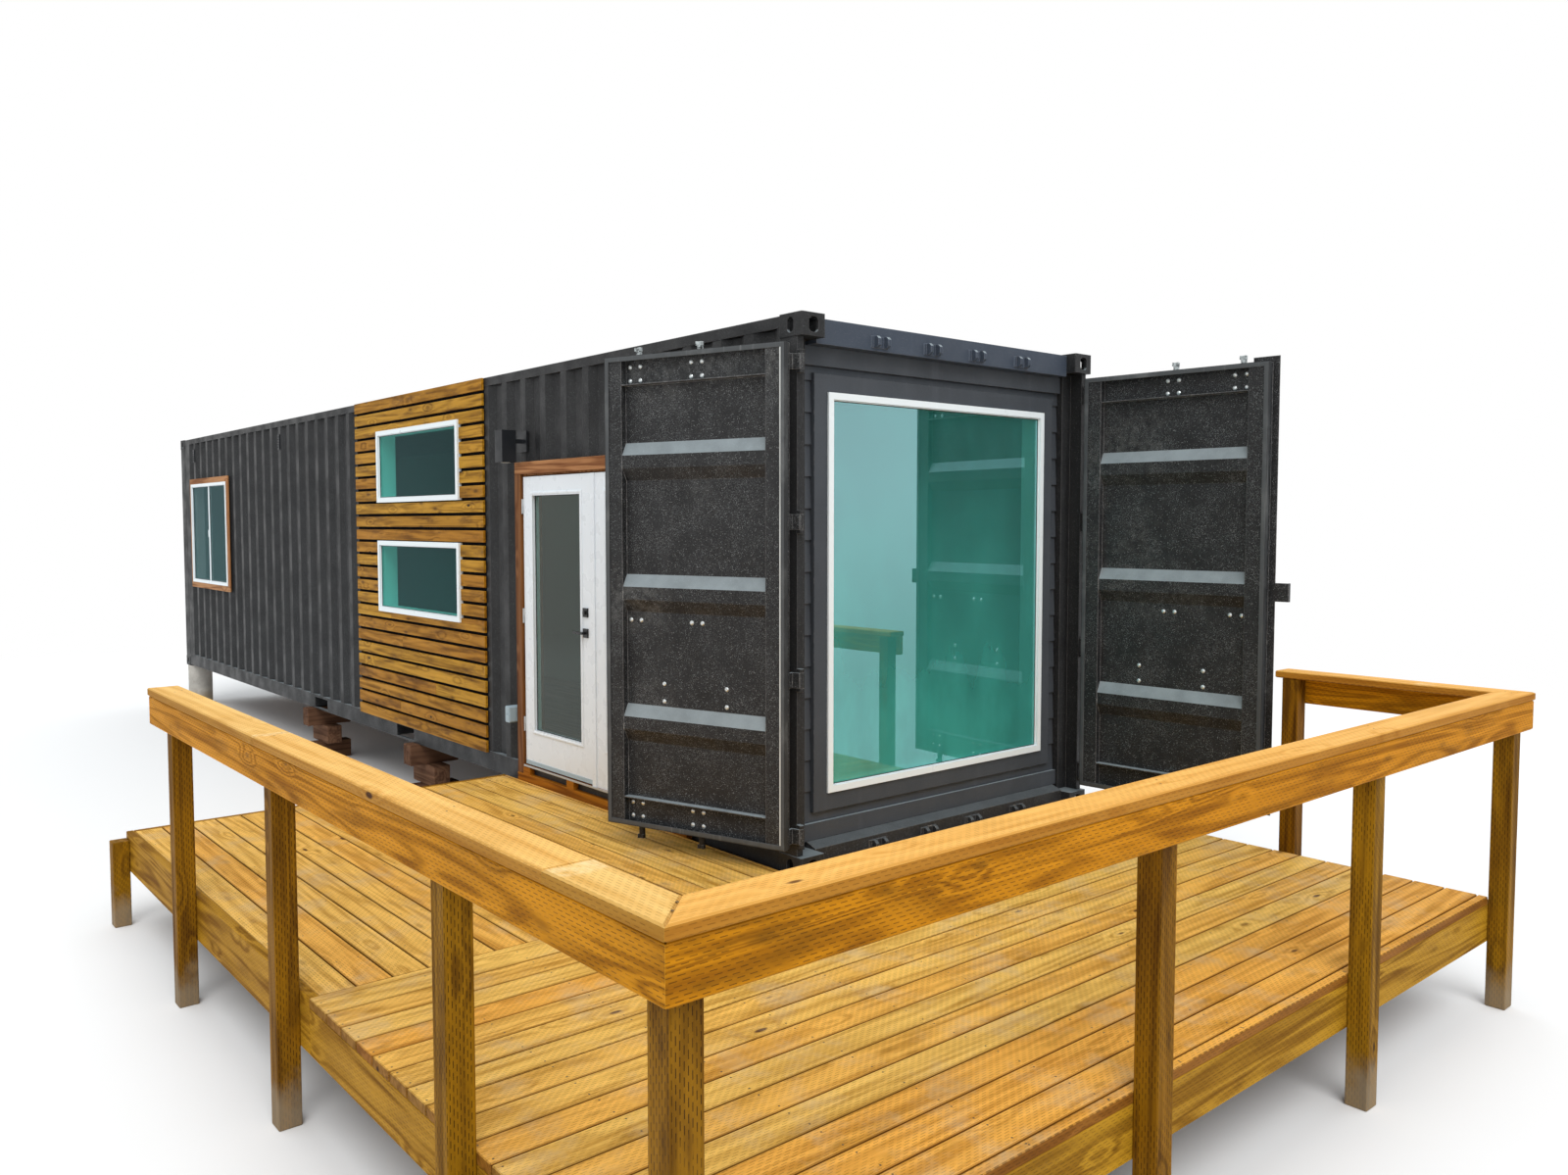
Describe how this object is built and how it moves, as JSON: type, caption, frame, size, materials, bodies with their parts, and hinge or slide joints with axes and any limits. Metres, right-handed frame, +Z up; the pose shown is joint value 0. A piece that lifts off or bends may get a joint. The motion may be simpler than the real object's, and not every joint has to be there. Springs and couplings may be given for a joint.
{
  "type": "shipping container cabin",
  "caption": "High shipping container made into a cabin, glazed at its door end, with entry doors, slatted cladding and a railed timber deck on piers",
  "frame": {"origin": "on the ground under the middle of the whole cabin with its deck", "axes": "+Z up; +X along the container's length towards the cargo doors and the glazed end; the entry doors and the deck's side wing face -Y"},
  "size_m": [14.729, 5.097, 3.396],
  "materials": {
    "container_paint": "satin",
    "sill_paint": "matt",
    "leaf_paint": "satin",
    "siding_paint": "satin",
    "plywood_floor": "satin",
    "inner_lining": "matt",
    "white_vinyl": "satin",
    "window_glass": "gloss",
    "brown_trim": "satin",
    "cedar_cladding": "satin",
    "deck_timber": "satin",
    "white_door": "satin",
    "black_hardware": "satin",
    "seal_rubber": "matt",
    "grey_plastic": "satin",
    "concrete": "matt",
    "crib_timber": "rough"
  },
  "bodies": {
    "container": {"corner_castings": "container_paint", "corner_posts": "container_paint", "top_side_rails": "container_paint", "bottom_side_rails": "container_paint", "fork_pockets": "container_paint", "door_header": "container_paint", "door_sill": "sill_paint", "blank_end_rails": "container_paint", "entry_wall_long": "container_paint", "entry_wall_over_door": "container_paint", "entry_wall_door_end": "container_paint", "far_wall": "container_paint", "blank_end_wall": "container_paint", "roof_sheet": "container_paint", "floor_boards": "plywood_floor", "floor_joists": "container_paint", "entry_lining": "inner_lining", "far_lining": "inner_lining", "blank_end_lining": "inner_lining", "ceiling": "inner_lining", "end_wall_panel": "inner_lining", "end_wall_siding": "siding_paint", "end_wall_trim": "siding_paint", "end_window_frame": "white_vinyl", "side_window_frames": "white_vinyl", "window_glass": "window_glass", "slider_window_trim": "brown_trim", "slat_cladding": "cedar_cladding", "door_frame": "brown_trim", "door_trim": "brown_trim", "sill_blocking": "deck_timber", "fixed_door_leaf": "white_door", "door_hinge_plates": "black_hardware", "wall_lamp": "black_hardware", "outlet_box": "grey_plastic", "wall_vents": "black_hardware", "piers": "concrete", "cribbing": "crib_timber", "deck_boards": "deck_timber", "deck_rim": "deck_timber", "deck_joists": "deck_timber", "deck_posts": "deck_timber", "rail_beams": "deck_timber", "rail_caps": "deck_timber"},
    "left_leaf": {"left_cargo_leaf": "leaf_paint", "left_leaf_seal": "seal_rubber", "left_lock_rods": "leaf_paint"},
    "right_leaf": {"right_cargo_leaf": "leaf_paint", "right_leaf_seal": "seal_rubber", "right_lock_rods": "leaf_paint"},
    "entry_door": {"entry_door_leaf": "white_door", "entry_door_glass": "window_glass", "entry_door_hardware": "black_hardware"}
  },
  "joints": [
    {"name": "left_cargo_hinge", "type": "hinge", "parent": "container", "child": "left_leaf", "pos_m": [4.8125, 0.0455, 1.951], "axis": [0, 0, -1], "range_deg": [-252, 10]},
    {"name": "right_cargo_hinge", "type": "hinge", "parent": "container", "child": "right_leaf", "pos_m": [4.8125, 2.4595, 1.951], "axis": [0, 0, 1], "range_deg": [-94.5, 167.5]},
    {"name": "entry_door_hinge", "type": "hinge", "parent": "container", "child": "entry_door", "pos_m": [1.9275, 0.0085, 1.695], "axis": [0, 0, -1], "range_deg": [0, 100]}
  ]
}
